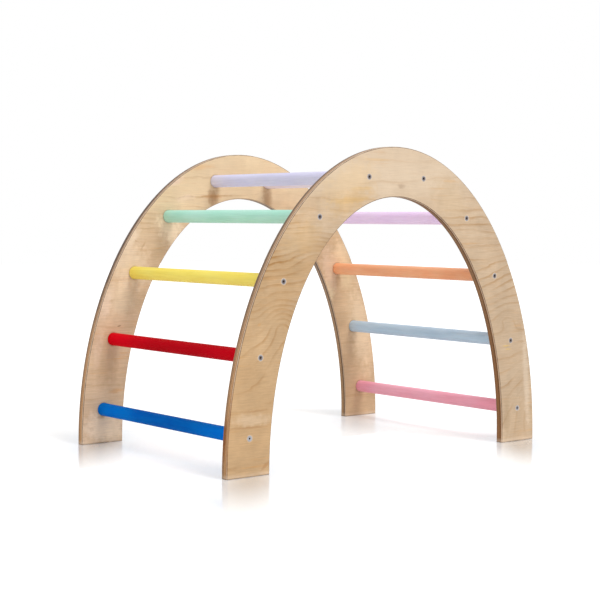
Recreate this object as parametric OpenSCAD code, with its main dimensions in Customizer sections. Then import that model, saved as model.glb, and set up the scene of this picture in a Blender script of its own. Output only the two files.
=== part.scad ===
// Wooden rocker arch: two plywood side arches held apart by ten round rungs.
// X runs along the arch from foot to foot, Y along the rungs, +Z is up.
// The origin is on the floor, in the middle between the four feet.

/* [Arches] */
// Length over the two feet of a side arch
arch_len = 920; // [780:5:1110]
// Height of the crown above the floor
arch_h = 685; // [580:5:830]
// Width of the plywood band at the feet and at the crown
band_w = 110; // [90:1:135]
// Height of the straight stretch between the floor and the start of the curve
foot_h = 10; // [2:1:30]
// Thickness of the plywood
ply_t = 18; // [15:0.5:22]
// Radius of the rounded edges of the plywood, at the feet
edge_r = 2.5; // [1:0.5:4]
// Width over the outer faces of the two side arches
span_w = 580; // [420:5:800]

/* [Rungs] */
// Diameter of a rung
rung_d = 30; // [24:1:38]
// Distance along the band from the floor to the centre of the lowest rung
first_rung = 79; // [60:1:110]
// Depth of the round pocket that a rung end sits in
pocket_depth = 8; // [5:0.5:10]
// Bevel around each rung end
rung_bevel = 1; // [0.5:0.1:2]

/* [Bolts] */
// Thread diameter of the countersunk bolt
bolt_d = 6; // [5:0.5:8]
// Length of the bolt, head included
bolt_len = 35; // [26:1:45]
// Diameter of the countersunk head
head_d = 12; // [10:0.5:15]
// Height of the upright rim of the head
head_rim = 0.3; // [0.2:0.1:0.6]
// Width across the flats of the hexagon socket in the head
socket_w = 4; // [3:0.5:5]
// Depth of the hexagon socket
socket_depth = 2.5; // [1.5:0.1:3]
// Bevel at the bolt tip
tip_bevel = 0.8; // [0.4:0.1:1.2]

/* [Threaded inserts] */
// Length of the insert sleeve
insert_len = 22; // [12:1:30]
// Diameter of the sleeve between its wood threads
insert_core_d = 10; // [9:0.5:12]
// Diameter over the crests of the wood thread
insert_crest_d = 12; // [11:0.5:14]
// Distance from one crest of the wood thread to the next
insert_pitch = 3; // [2:0.5:4]
// Width across the flats of the hexagon drive in the insert's mouth
drive_w = 7; // [6.5:0.5:8]
// Depth of the hexagon drive
drive_depth = 4; // [2:0.5:6]

/* [Fits] */
// Gap around a rung end in its pocket
rung_gap = 0.2; // [0.1:0.05:0.5]
// Gap around the bolt in the plywood
bolt_gap = 0.25; // [0.1:0.05:0.5]
// Gap around the bolt head in its countersink
head_gap = 0.1; // [0.05:0.05:0.3]
// Gap between threads that grip each other
thread_gap = 0.05; // [0.02:0.01:0.15]
// Free depth past the bolt tip, inside the rung
tip_room = 3; // [1:0.5:6]

/* [Hidden] */
$fn = 96;
spill = 1; // how far a cutting shape runs past the face it cuts
arc_steps = 180; // steps in which the length of the rung line is added up
rungs_a_side = 5;
crest_share = 0.2; // flat top of a wood thread's crest, as a share of the pitch
root_share = 0.2; // sleeve left bare between two crests, as a share of the pitch

// name, side of the arch (-1 left, 1 right), place counted from the floor, colour of the paint
rung_table = [
    ["blue", -1, 0, [0.02, 0.42, 0.73]],
    ["red", -1, 1, [0.80, 0.05, 0.13]],
    ["yellow", -1, 2, [0.96, 0.82, 0.24]],
    ["mint", -1, 3, [0.63, 0.86, 0.77]],
    ["periwinkle", -1, 4, [0.80, 0.82, 0.93]],
    ["blush", 1, 4, [0.95, 0.87, 0.89]],
    ["lilac", 1, 3, [0.87, 0.76, 0.90]],
    ["orange", 1, 2, [0.96, 0.62, 0.38]],
    ["sky", 1, 1, [0.66, 0.79, 0.86]],
    ["pink", 1, 0, [0.95, 0.58, 0.72]],
];
birch = [0.86, 0.75, 0.60];
steel = [0.75, 0.76, 0.78];
zinc = [0.80, 0.74, 0.58];

// Half axes of the outer edge, the inner edge and the line of rung centres between them
outer_x = arch_len / 2;
outer_z = arch_h - foot_h;
inner_x = outer_x - band_w;
inner_z = outer_z - band_w;
line_x = outer_x - band_w / 2;
line_z = outer_z - band_w / 2;

face_y = span_w / 2; // outer face of a side arch
inner_y = face_y - ply_t; // inner face of a side arch
rung_len = 2 * (inner_y + pocket_depth);
rung_r = rung_d / 2;
bolt_r = bolt_d / 2;
head_r = head_d / 2;
web_t = ply_t - pocket_depth; // plywood left between a pocket and the outer face
bore_r = bolt_r + thread_gap; // inside the insert
tip_depth = bolt_len - web_t; // how far the bolt reaches into the rung
hex_r = 1 / cos(30); // corner radius of a hexagon that is 2 across its flats

// Point of the rung line's elliptical part, at angle t up from the foot
function line_point(t) = [line_x * cos(t), foot_h + line_z * sin(t)];

// Pairs of [length along the rung line from the floor, angle t], from the foot to the crown
arc_table = [
    for (
        i = 0, s = foot_h;
        i <= arc_steps;
        s = s + norm(line_point(90 * (i + 1) / arc_steps) - line_point(90 * i / arc_steps)),
        i = i + 1
    )
    [s, 90 * i / arc_steps]
];
half_arc = arc_table[arc_steps][0];

// The rungs divide the line between the two lowest ones into equal lengths
rung_pitch = 2 * (half_arc - first_rung) / (2 * rungs_a_side - 1);

// X and Z of the rung that is k places above the floor, on the side s
function rung_place(s, k) =
    let (p = line_point(lookup(first_rung + k * rung_pitch, arc_table)))
    [s * p[0], p[1]];

// Section of a plate from its middle out to a rim with rounded edges
module rim_section(half_w) {
    translate([0, -ply_t / 2]) square([half_w - edge_r, ply_t]);
    translate([0, edge_r - ply_t / 2]) square([half_w, ply_t - 2 * edge_r]);
    for (y = [-1, 1])
        translate([half_w - edge_r, y * (ply_t / 2 - edge_r)]) circle(r = edge_r);
}

// Section of a hole through a plate from its middle out to its wall, with rounded edges at both faces
module hole_section(half_w) {
    difference() {
        translate([0, -ply_t / 2 - spill]) square([half_w + edge_r, ply_t + 2 * spill]);
        translate([half_w, edge_r - ply_t / 2]) square([edge_r + spill, ply_t - 2 * edge_r]);
        for (y = [-1, 1])
            translate([half_w + edge_r, y * (ply_t / 2 - edge_r)]) circle(r = edge_r);
    }
}

// A half oval on a straight foot, lying flat: the section, which is its child, is turned about the
// middle and stretched to the oval's height, then carried down the foot
module half_oval(half_x, half_z, foot) {
    reach = 2 * edge_r + half_x + half_z;
    translate([0, foot, 0])
        intersection() {
            scale([1, half_z / half_x, 1]) rotate_extrude() children();
            translate([-reach, 0, -ply_t]) cube([2 * reach, reach, 2 * ply_t]);
        }
    rotate([-90, 0, 0])
        linear_extrude(foot) {
            children();
            mirror([1, 0]) children();
        }
}

// Places its children at a rung end, with their +Z pointing out of the face at the side y
module at_rung_end(r, y) {
    place = rung_place(r[1], r[2]);
    translate([place[0], y, place[1]])
        rotate([y > 0 ? -90 : 90, 0, 0])
            children();
}

// Everything cut out of the plywood for one rung: its pocket, the bolt hole and the countersink
module rung_seat() {
    translate([0, 0, -ply_t - spill]) cylinder(r = rung_r + rung_gap, h = pocket_depth + spill);
    translate([0, 0, -ply_t]) cylinder(r = bolt_r + bolt_gap, h = ply_t + spill);
    translate([0, 0, -head_rim - head_r])
        cylinder(r1 = head_gap, r2 = head_r + head_gap, h = head_r);
    translate([0, 0, -head_rim]) cylinder(r = head_r + head_gap, h = head_rim + spill);
}

// One side arch, with its outer face at the side y
module arch(side) {
    color(birch)
        difference() {
            translate([0, side * (face_y - ply_t / 2), 0])
                rotate([90, 0, 0])
                    difference() {
                        half_oval(outer_x, outer_z, foot_h) rim_section(outer_x);
                        translate([0, -spill, 0])
                            half_oval(inner_x, inner_z, foot_h + spill) hole_section(inner_x);
                    }
            for (r = rung_table)
                at_rung_end(r, side * face_y) rung_seat();
        }
}

// Outline of the insert's wood thread from its mouth to its inner end, as [radius, height],
// with each crest as one ring; grow widens it to make the hole that the insert fills
function thread_outline(grow) =
    let (
        rings = floor(insert_len / insert_pitch) - 1,
        start = (insert_len - rings * insert_pitch) / 2,
        core = insert_core_d / 2 + grow,
        crest = insert_crest_d / 2 + grow,
        ring = [
            [core, root_share / 2],
            [crest, 0.5 - crest_share / 2],
            [crest, 0.5 + crest_share / 2],
            [core, 1 - root_share / 2],
        ]
    )
    concat(
        [[core, 0]],
        [for (i = [0 : rings - 1], p = ring) [p[0], -start - (i + p[1]) * insert_pitch]],
        [[core, -insert_len]]
    );

// One rung: a bevelled round rod with a threaded and deepened hole in each end
module rung(r) {
    place = rung_place(r[1], r[2]);
    half = rung_len / 2;
    inset = rung_r - rung_bevel;
    color(r[3])
        difference() {
            translate([place[0], 0, place[1]])
                rotate([90, 0, 0])
                    rotate_extrude()
                        polygon([
                            [0, -half], [inset, -half], [rung_r, rung_bevel - half],
                            [rung_r, half - rung_bevel], [inset, half], [0, half],
                        ]);
            for (y = [-half, half])
                at_rung_end(r, y) {
                    rotate_extrude()
                        polygon(concat(
                            [[0, spill], [insert_core_d / 2 + thread_gap, spill]],
                            thread_outline(thread_gap),
                            [[0, -insert_len]]
                        ));
                    translate([0, 0, -tip_depth - tip_room])
                        cylinder(r = bolt_r + bolt_gap, h = tip_depth + tip_room);
                }
        }
}

// One countersunk bolt, its head flush with the height 0
module bolt() {
    difference() {
        union() {
            translate([0, 0, -head_rim]) cylinder(r = head_r, h = head_rim);
            translate([0, 0, -head_rim - head_r + bolt_r])
                cylinder(r1 = bolt_r, r2 = head_r, h = head_r - bolt_r);
            translate([0, 0, tip_bevel - bolt_len])
                cylinder(r = bolt_r, h = bolt_len - tip_bevel - head_rim);
            translate([0, 0, -bolt_len]) cylinder(r1 = bolt_r - tip_bevel, r2 = bolt_r, h = tip_bevel);
        }
        translate([0, 0, -socket_depth])
            cylinder(r = socket_w / 2 * hex_r, h = socket_depth + spill, $fn = 6);
    }
}

// One threaded insert, its mouth at the height 0
module insert() {
    difference() {
        rotate_extrude()
            polygon(concat([[bore_r, 0]], thread_outline(0), [[bore_r, -insert_len]]));
        translate([0, 0, -drive_depth])
            cylinder(r = drive_w / 2 * hex_r, h = drive_depth + spill, $fn = 6);
    }
}

// The two bolts that hold a rung, one through each side arch
module bolt_pair(r) {
    color(steel)
        for (y = [-face_y, face_y])
            at_rung_end(r, y) bolt();
}

// The two threaded inserts in the ends of a rung
module insert_pair(r) {
    color(zinc)
        for (y = [-rung_len / 2, rung_len / 2])
            at_rung_end(r, y) insert();
}

arch(-1);  // front_arch
arch(1);  // back_arch
for (r = rung_table) {
    rung(r);
    bolt_pair(r);
    insert_pair(r);
}
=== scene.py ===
import bmesh
import bpy
import numpy as np
from mathutils import Matrix, Vector


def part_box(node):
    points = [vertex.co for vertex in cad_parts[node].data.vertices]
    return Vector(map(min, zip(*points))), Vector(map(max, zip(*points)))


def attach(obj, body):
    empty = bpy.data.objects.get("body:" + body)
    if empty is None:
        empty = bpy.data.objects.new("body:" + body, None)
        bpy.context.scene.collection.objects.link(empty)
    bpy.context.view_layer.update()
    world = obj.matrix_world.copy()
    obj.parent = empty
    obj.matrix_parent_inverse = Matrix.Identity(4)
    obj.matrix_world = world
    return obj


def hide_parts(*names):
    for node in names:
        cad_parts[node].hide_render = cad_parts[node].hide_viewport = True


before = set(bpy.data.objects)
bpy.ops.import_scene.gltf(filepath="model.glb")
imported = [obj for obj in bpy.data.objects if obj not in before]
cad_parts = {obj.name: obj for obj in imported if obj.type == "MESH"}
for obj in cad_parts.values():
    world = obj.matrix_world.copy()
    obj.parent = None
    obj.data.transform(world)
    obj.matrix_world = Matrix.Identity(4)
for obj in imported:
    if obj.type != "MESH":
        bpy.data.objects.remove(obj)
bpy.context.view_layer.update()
print("frame loaded:", len(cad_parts), "nodes")

rungColours = ["blue", "red", "yellow", "mint", "periwinkle", "blush", "lilac", "orange", "sky", "pink"]


# A grid of points becomes a closed surface. Its rows run along the piece and its columns round it. The
# first and last rows end in a point each ("poles"), in a flat face each ("caps"), or meet ("ring").
def surfaceFromGrid(grid, ends):
    rows, columns = grid.shape[:2]
    index = np.arange(rows * columns).reshape(rows, columns)
    if ends == "poles":
        index = index - (columns - 1)
        index[0] = 0
        index[-1] = index[-2, -1] + 1
        points = np.concatenate([grid[0, :1], grid[1:-1].reshape(-1, 3), grid[-1, :1]])
    else:
        points = grid.reshape(-1, 3)
    if ends == "ring":
        lower, upper = index, np.roll(index, -1, axis=0)
    else:
        lower, upper = index[:-1], index[1:]
    bands = np.stack([lower, np.roll(lower, -1, 1), np.roll(upper, -1, 1), upper], axis=-1)
    if ends == "poles":
        first = bands[0][:, [0, 2, 3]].tolist()
        last = bands[-1][:, [0, 1, 3]].tolist()
        faces = first + bands[1:-1].reshape(-1, 4).tolist() + last
    else:
        faces = bands.reshape(-1, 4).tolist()
    if ends == "caps":
        faces += [index[0][::-1].tolist(), index[-1].tolist()]
    return points, faces


# Faces point outward, and an edge whose faces differ by more than an angle in degrees stays sharp
def faceOutward(mesh, sharpAngle):
    shell = bmesh.new()
    shell.from_mesh(mesh)
    bmesh.ops.recalc_face_normals(shell, faces=shell.faces)
    shell.to_mesh(mesh)
    shell.free()
    mesh.shade_smooth()
    mesh.set_sharp_from_angle(angle=np.radians(sharpAngle))


# One object from one or more closed surfaces
def newPiece(name, surfaces, sharpAngle):
    points, faces, used = [], [], 0
    for surfacePoints, surfaceFaces in surfaces:
        points.append(surfacePoints)
        faces += [[corner + used for corner in face] for face in surfaceFaces]
        used += len(surfacePoints)
    mesh = bpy.data.meshes.new(name)
    mesh.from_pydata(np.concatenate(points).tolist(), [], faces)
    piece = bpy.data.objects.new(name, mesh)
    bpy.context.scene.collection.objects.link(piece)
    faceOutward(mesh, sharpAngle)
    return piece


# The angles of the columns round a turned form
def columnAngles(columns):
    return np.arange(columns) * 2 * np.pi / columns


# A turned form about a rung's line. A point at an angle and a depth under the face at side * face lies
# at the radius times (cosine, sine) of the angle from the line, and at side * (face - depth) along it.
def turned(place, side, face, depths, radii, columns, startAngle=0.0):
    angles = columnAngles(columns) + startAngle
    depths = np.broadcast_to(np.asarray(depths)[:, None], (len(depths), columns))
    radii = np.broadcast_to(radii, (len(depths), columns))
    across = place[0] + radii * np.cos(angles)
    upward = place[1] + radii * np.sin(angles)
    return np.stack([across, side * (face - depths), upward], axis=-1)


# Radius of a regular hexagon at each angle: half its width over flats, over the cosine of the angle
# from the middle of the nearest flat
def hexagonRadius(across, columns):
    fromFlat = (columnAngles(columns) + np.pi / 6) % (np.pi / 3) - np.pi / 6
    return across / 2 / np.cos(fromFlat)


# Height of a helical thread from 0 at its root to 1 at its crest: a triangle wave of the depth in
# pitches less the turn, cut flat at both ends, and faded out where the thread begins and ends
def threadHeight(side, depths, pitch, start, end, columns):
    flatShare = 0.15
    turns = np.arange(columns) / columns
    phase = (np.asarray(depths)[:, None] / pitch - side * turns) % 1
    wave = np.clip((1 - np.abs(2 * phase - 1) - flatShare) / (1 - 2 * flatShare), 0, 1)
    fade = np.clip(np.minimum(depths - start, end - depths) / pitch, 0, 1)
    return wave * fade[:, None]


boltShape = {
    "radius": 0.003,
    "threadDepth": 0.00055,
    "pitch": 0.001,
    "rowsPerTurn": 6,
    "length": 0.035,
    "headRadius": 0.006,
    "headRim": 0.0003,
    "headSoftening": 0.00012,
    "socketAcross": 0.004,
    "socketDepth": 0.0025,
    "socketPoint": 0.0008,  # how much deeper the drilled middle of its floor is
    "socketBevel": 0.00018,
    "floorShare": 0.9,  # of the hexagon that the socket's floor fills
    "floorRound": 0.0001,
    "smoothNeck": 0.004,  # unthreaded stretch under the head
    "tipBevel": 0.0008,
    "gap": 0.00025,  # around the shank in the plywood
    "headGap": 0.0001,
    "columns": 48,
    "sharpAngle": 30,
}


# Depths and radii of a bolt's thread: rows a share of a pitch apart, and the shank's radius less the
# thread's depth where the wave is low
def boltThread(side, columns):
    start = boltShape["headRim"] + boltShape["headRadius"] - boltShape["radius"] + boltShape["smoothNeck"]
    end = boltShape["length"] - boltShape["tipBevel"]
    steps = int(round((end - start) / boltShape["pitch"] * boltShape["rowsPerTurn"]))
    depths = np.linspace(start, end, steps + 1)
    height = threadHeight(side, depths, boltShape["pitch"], start, end, columns)
    return depths, boltShape["radius"] - boltShape["threadDepth"] * (1 - height)


# A bolt from the middle of its socket's floor: up the hexagonal wall, over the flat head, down the
# countersunk cone and the thread, and round the bevelled tip to the axis
def boltSurface(place, side, startAngle):
    shape = boltShape
    columns = shape["columns"]
    flat = np.ones(columns)
    hexagon = hexagonRadius(shape["socketAcross"], columns)
    mouth = flat * (shape["socketAcross"] / 2 / np.cos(np.pi / 6) + shape["socketBevel"])
    head, soft, floor = shape["headRadius"], shape["headSoftening"], shape["socketDepth"]
    threadDepths, threadRadii = boltThread(side, columns)
    rows = [
        (floor + shape["socketPoint"], 0 * flat),
        (floor, shape["floorShare"] * hexagon),
        (floor - shape["floorRound"], hexagon),
        (floor / 2, hexagon),
        (shape["socketBevel"], hexagon),
        (0.0, mouth),
        (0.0, flat * (head - 3 * soft)),
        (0.0, flat * (head - soft)),
        (0.3 * soft, flat * (head - 0.3 * soft)),
        (soft, flat * head),
        (shape["headRim"], flat * head),
        (shape["headRim"] + head - shape["radius"], flat * shape["radius"]),
    ]
    depths = [row[0] for row in rows] + list(threadDepths)
    radii = [row[1] for row in rows] + list(threadRadii)
    core, bevel = shape["radius"] - shape["threadDepth"], shape["tipBevel"]
    depths += [shape["length"] - 0.2 * bevel, shape["length"], shape["length"]]
    radii += [flat * (core - 0.5 * bevel), flat * (core - bevel), 0 * flat]
    face = archShape["outerFace"]
    grid = turned(place, side, face, depths, np.array(radii), columns, startAngle)
    return surfaceFromGrid(grid, "poles")


insertShape = {
    "length": 0.022,
    "coreRadius": 0.005,
    "crestRadius": 0.006,
    "pitch": 0.003,
    "rowsPerTurn": 8,
    "plainEnd": 0.0005,  # unthreaded stretch at either end
    "driveAcross": 0.007,
    "driveDepth": 0.004,
    "gap": 0.00005,  # between threads that grip each other
    "columns": 48,
    "sharpAngle": 30,
}


# The insert's outer wall: its core radius, and a coarse helical wood thread standing out of it
def insertOutside(side, columns):
    shape = insertShape
    steps = int(shape["length"] / shape["pitch"] * shape["rowsPerTurn"])
    depths = np.linspace(0, shape["length"], steps + 1)
    start, end = shape["plainEnd"], shape["length"] - shape["plainEnd"]
    height = threadHeight(side, depths, shape["pitch"], start, end, columns)
    return depths, shape["coreRadius"] + (shape["crestRadius"] - shape["coreRadius"]) * height


# An insert as a ring: down its outer wall, over its inner end, up the bore that follows the bolt's
# thread at a small gap, and up the hexagonal drive to its mouth
def insertSurface(place, side):
    shape = insertShape
    columns = shape["columns"]
    web = archShape["thickness"] - rungShape["pocketDepth"]
    outerDepths, outerRadii = insertOutside(side, columns)
    boreDepths, boreRadii = boltThread(side, columns)
    inside = (boreDepths > web + shape["driveDepth"]) & (boreDepths < web + shape["length"])
    boreDepths = boreDepths[inside][::-1] - web
    boreRadii = boreRadii[inside][::-1] + shape["gap"]
    hexagon = hexagonRadius(shape["driveAcross"], columns)
    depths = list(outerDepths) + list(boreDepths) + [shape["driveDepth"], 0.0]
    radii = list(outerRadii) + list(boreRadii) + [hexagon, hexagon]
    face = rungShape["halfLength"]
    return surfaceFromGrid(turned(place, side, face, depths, np.array(radii), columns), "ring")


rungLow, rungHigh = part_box("red_rung")
rungShape = {
    "radius": (rungHigh.z - rungLow.z) / 2,
    "halfLength": rungHigh.y,
    "bevel": 0.0012,
    "gap": 0.0002,  # between a rung end and its pocket
    "pocketDepth": 0.008,
    "insertRoom": 0.00002,  # behind an insert's inner end
    "tipRoom": 0.003,  # from a bolt's tip to the end of its hole
    "holePoint": 0.0015,  # how much deeper the drilled middle of the hole is
    "endRing": 0.7,  # share of the radius where its end face has a ring of points
    "cornerSteps": 4,
    "waviness": 0.00006,  # how far a sanded rod is off a true cylinder
    "waveLength": 0.085,
    "slowWave": (0.6, 0.37, 2.1),  # a second wave: height, pace, and how far it shifts for each rung
    "evenEnd": 0.009,  # stretch at either end without waves
    "waveRise": 0.03,  # stretch over which they grow
    "columns": 72,
    "alongSteps": 64,
    "sharpAngle": 40,
}


# The rows of one rung end, from the bottom of its bore out to its corner. The bore's wall follows the
# insert's own helical thread at a small gap.
def rungEndRows(side):
    columns = rungShape["columns"]
    web = archShape["thickness"] - rungShape["pocketDepth"]
    bore = boltShape["length"] - web + rungShape["tipRoom"]
    holeRadius = boltShape["radius"] + boltShape["gap"]
    wallDepths, wallRadii = insertOutside(side, columns)
    bevel = rungShape["bevel"]
    corner = np.linspace(0, np.pi / 2, rungShape["cornerSteps"] + 1)
    flat = np.ones(columns)
    depths = [bore + rungShape["holePoint"], bore, insertShape["length"] + rungShape["insertRoom"]]
    radii = [0 * flat, holeRadius * flat, holeRadius * flat]
    depths += list(wallDepths[::-1]) + [0.0] + list(bevel * (1 - np.cos(corner)))
    radii += list(wallRadii[::-1] + insertShape["gap"]) + [rungShape["endRing"] * rungShape["radius"] * flat]
    radii += [flat * (rungShape["radius"] - bevel * (1 - np.sin(angle))) for angle in corner]
    return np.array(depths), np.array(radii)


# A rung's surface: the rows of its front end, then of its rod, then of its back end. The rod's radius
# strays a little with the length, as two sine waves of the length that turn round it. The rung's number
# shifts them, so that no two rungs are alike.
def makeRung(name, place, number):
    columns = rungShape["columns"]
    half = rungShape["halfLength"]
    angles = columnAngles(columns)
    frontDepths, frontRadii = rungEndRows(-1)
    backDepths, backRadii = rungEndRows(1)
    rod = np.linspace(-half + rungShape["bevel"], half - rungShape["bevel"], rungShape["alongSteps"])[1:-1]
    wave = 2 * np.pi * rod[:, None] / rungShape["waveLength"]
    height, pace, shift = rungShape["slowWave"]
    slowWave = height * np.sin(pace * wave - 2 * angles + shift * number)
    stray = np.sin(wave + angles + number) + slowWave
    fade = np.clip((half - rungShape["evenEnd"] - np.abs(rod)) / rungShape["waveRise"], 0, 1)[:, None]
    rodRadii = rungShape["radius"] - rungShape["waviness"] * (1 - stray / (1 + height)) / 2 * fade
    front = turned(place, -1, half, frontDepths, frontRadii, columns)
    back = turned(place, 1, half, backDepths, backRadii, columns)[::-1]
    middle = turned(place, 1, 0.0, -rod, rodRadii, columns)
    surface = surfaceFromGrid(np.concatenate([front, middle, back]), "poles")
    return newPiece(name, [surface], rungShape["sharpAngle"])


archLow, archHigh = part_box("front_arch")
archShape = {
    "halfLength": round(archHigh.x, 4),
    "height": round(archHigh.z, 3),
    "outerFace": -archLow.y,  # distance of an outer face from the middle
    "thickness": archHigh.y - archLow.y,
    "bandWidth": 0.110,
    "footHeight": 0.010,
    "edgeRadius": 0.0025,
    "footBevel": 0.0008,
    "footRows": (0.4, 0.7),  # shares of the foot's height where rows of points lie
    "seatMouth": 0.0003,  # bevel at the mouth of a rung's pocket
    "headMouth": 0.0002,  # how much wider a countersink is just over the face
    "alongSteps": 420,
    "acrossSteps": 8,
    "roundSteps": 5,
    "rimSteps": 4,
    "bevelSteps": 4,
    "measuringSteps": 4000,  # to find points at equal lengths along half an ellipse
    "sharpAngle": 35,
}


# The lines that an arch's section is carried along, from the left foot over the crown to the right
# foot: points of the outer and inner edges, the directions from each into the wood, and the height of
# the foot's bevel. The curved stretch is half an ellipse for each edge, sampled at equal lengths.
def archLines(shape):
    foot = shape["footHeight"]
    outer = np.array([shape["halfLength"], shape["height"] - foot])
    inner = outer - shape["bandWidth"]
    middle = (outer + inner) / 2
    fine = np.linspace(np.pi, 0, shape["measuringSteps"] + 1)
    line = np.stack([middle[0] * np.cos(fine), middle[1] * np.sin(fine)], axis=1)
    lengths = np.concatenate([[0], np.cumsum(np.linalg.norm(np.diff(line, axis=0), axis=1))])
    even = np.interp(np.linspace(0, lengths[-1], shape["alongSteps"] + 1), lengths, fine)
    direction = np.stack([np.cos(even), np.sin(even)], axis=1)

    bevel = shape["footBevel"]
    bevelAngles = np.linspace(0, np.pi / 2, shape["bevelSteps"] + 1)
    footRows = foot * np.array(shape["footRows"])
    footHeights = np.concatenate([bevel * (1 - np.cos(bevelAngles)), footRows])
    footInsets = np.concatenate([bevel * (1 - np.sin(bevelAngles)), 0 * footRows])

    # An edge from foot to foot, with inward = -1 for the outer edge and 1 for the inner one
    def edge(half, inward):
        points = direction * half + [0, foot]
        normals = direction * half[::-1]
        into = inward * normals / np.linalg.norm(normals, axis=1)[:, None]
        left = np.stack([np.full(len(footHeights), -half[0]), footHeights], axis=1)
        leftInto = np.tile([[-inward, 0.0]], (len(footHeights), 1))
        right, rightInto = left[::-1] * [-1, 1], leftInto * [-1, 1]
        return np.concatenate([left, points, right]), np.concatenate([leftInto, into, rightInto])

    outerPoints, outerInto = edge(outer, -1)
    innerPoints, innerInto = edge(inner, 1)
    return {
        "outer": outerPoints,
        "outerInto": outerInto,
        "inner": innerPoints,
        "innerInto": innerInto,
        "inset": np.concatenate([footInsets, np.zeros(len(even)), footInsets[::-1]]),
    }


# The section of the band: its columns go round it, each with its share of the way from the inner edge
# to the outer one, its depth into the wood as a share of the edge radius, and its share of the
# thickness. Corners are quarter circles of the edge radius.
def archSection(shape):
    quarter = np.linspace(0, np.pi / 2, shape["roundSteps"] + 1)
    flat = np.linspace(-1, 1, shape["rimSteps"] + 1)[1:-1]
    wide = np.linspace(0, 1, shape["acrossSteps"] + 1)[1:-1]
    columns = []  # share toward the outer edge, corner cosine, corner sine, flat share of the rim
    columns += [(1, 1, 0, y) for y in flat]
    columns += [(1, np.cos(a), np.sin(a), 1) for a in quarter]
    columns += [(1 - w, 0, 1, 1) for w in wide]
    columns += [(0, np.cos(a), np.sin(a), 1) for a in quarter[::-1]]
    columns += [(0, 1, 0, y) for y in flat[::-1]]
    columns += [(0, np.cos(a), -np.sin(a), -1) for a in quarter]
    columns += [(w, 0, -1, -1) for w in wide]
    columns += [(1, np.cos(a), -np.sin(a), -1) for a in quarter[::-1]]
    return np.array(columns).T


# An arch's surface: every section column at every line row. A corner keeps its centre at the edge
# radius inside the wood while the foot's bevel draws its own radius in by the inset.
def archSurface(shape, centreY):
    lines = archLines(shape)
    share, cosine, sine, flat = archSection(shape)
    radius = shape["edgeRadius"] - lines["inset"][:, None]
    depth = shape["edgeRadius"] - radius * cosine
    y = flat * (shape["thickness"] / 2 - shape["edgeRadius"]) + radius * sine
    fromOuter = lines["outer"][:, None] + depth[..., None] * lines["outerInto"][:, None]
    fromInner = lines["inner"][:, None] + depth[..., None] * lines["innerInto"][:, None]
    flatXz = share[:, None] * fromOuter + (1 - share[:, None]) * fromInner
    grid = np.stack([flatXz[..., 0], centreY + y, flatXz[..., 1]], axis=-1)
    return surfaceFromGrid(grid, "caps")


# What is cut away for one rung, as one turned form: the countersink, the bolt's hole and the round
# pocket in the inner face, with a softened mouth. It spills a little over both faces.
def seatSurface(place, side):
    spill = 0.001
    thickness = archShape["thickness"]
    web = thickness - rungShape["pocketDepth"]
    headRadius = boltShape["headRadius"] + boltShape["headGap"]
    holeRadius = boltShape["radius"] + boltShape["gap"]
    pocketRadius = rungShape["radius"] + rungShape["gap"]
    mouth, lip = archShape["seatMouth"], archShape["headMouth"]
    rim = boltShape["headRim"]
    rows = [
        (-spill, 0),
        (-spill, headRadius + spill),
        (-lip / 2, headRadius + lip),
        (rim, headRadius),
        (rim + headRadius - holeRadius, holeRadius),
        (web, holeRadius),
        (web, pocketRadius),
        (thickness - mouth, pocketRadius),
        (thickness + spill, pocketRadius + spill + mouth),
        (thickness + spill, 0),
    ]
    depths = [row[0] for row in rows]
    radii = np.array([[row[1]] for row in rows])
    grid = turned(place, side, archShape["outerFace"], depths, radii, rungShape["columns"])
    return surfaceFromGrid(grid, "poles")


# The exact difference of two closed pieces. The second is used up.
def cutAway(piece, cutter):
    cut = piece.modifiers.new("seats", "BOOLEAN")
    cut.operation = "DIFFERENCE"
    cut.solver = "EXACT"
    cut.object = cutter
    shapes = bpy.context.evaluated_depsgraph_get()
    mesh = bpy.data.meshes.new_from_object(piece.evaluated_get(shapes))
    piece.modifiers.clear()
    piece.data = mesh
    bpy.data.objects.remove(cutter)
    faceOutward(mesh, archShape["sharpAngle"])
    steady = piece.modifiers.new("flat faces stay flat", "WEIGHTED_NORMAL")
    steady.keep_sharp = True


# Where the middle of an arch's sheet lies along y
def archCentre(side):
    return side * (archShape["outerFace"] - archShape["thickness"] / 2)


def makeArch(name, side, places):
    sharpAngle = archShape["sharpAngle"]
    piece = newPiece(name, [archSurface(archShape, archCentre(side))], sharpAngle)
    cutAway(piece, newPiece(name + "Seats", [seatSurface(place, side) for place in places], sharpAngle))
    print(name, "made:", len(piece.data.vertices), "points")
    return piece


# A value is either a socket to link from or a plain setting
def connect(tree, value, socket):
    if isinstance(value, bpy.types.NodeSocket):
        tree.links.new(value, socket)
    else:
        socket.default_value = value


def giveInputs(tree, node, inputs):
    for label, value in inputs.items():
        connect(tree, value, node.inputs[label])


def addNode(tree, kind, inputs=None, **settings):
    node = tree.nodes.new(kind)
    for label, value in settings.items():
        setattr(node, label, value)
    giveInputs(tree, node, inputs or {})
    return node


def maths(tree, operation, *values):
    return addNode(tree, "ShaderNodeMath", dict(enumerate(values)), operation=operation).outputs[0]


def times(tree, first, *others):
    for other in others:
        first = maths(tree, "MULTIPLY", first, other)
    return first


def vectorMaths(tree, operation, *values):
    node = addNode(tree, "ShaderNodeVectorMath", dict(enumerate(values)), operation=operation)
    return node.outputs["Value" if operation in ("DOT_PRODUCT", "DISTANCE", "LENGTH") else "Vector"]


def apart(tree, vector):
    return addNode(tree, "ShaderNodeSeparateXYZ", {"Vector": vector}).outputs


def together(tree, x, y, z):
    return addNode(tree, "ShaderNodeCombineXYZ", {"X": x, "Y": y, "Z": z}).outputs[0]


def objectPlace(tree):
    return addNode(tree, "ShaderNodeTexCoord").outputs["Object"]


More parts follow.
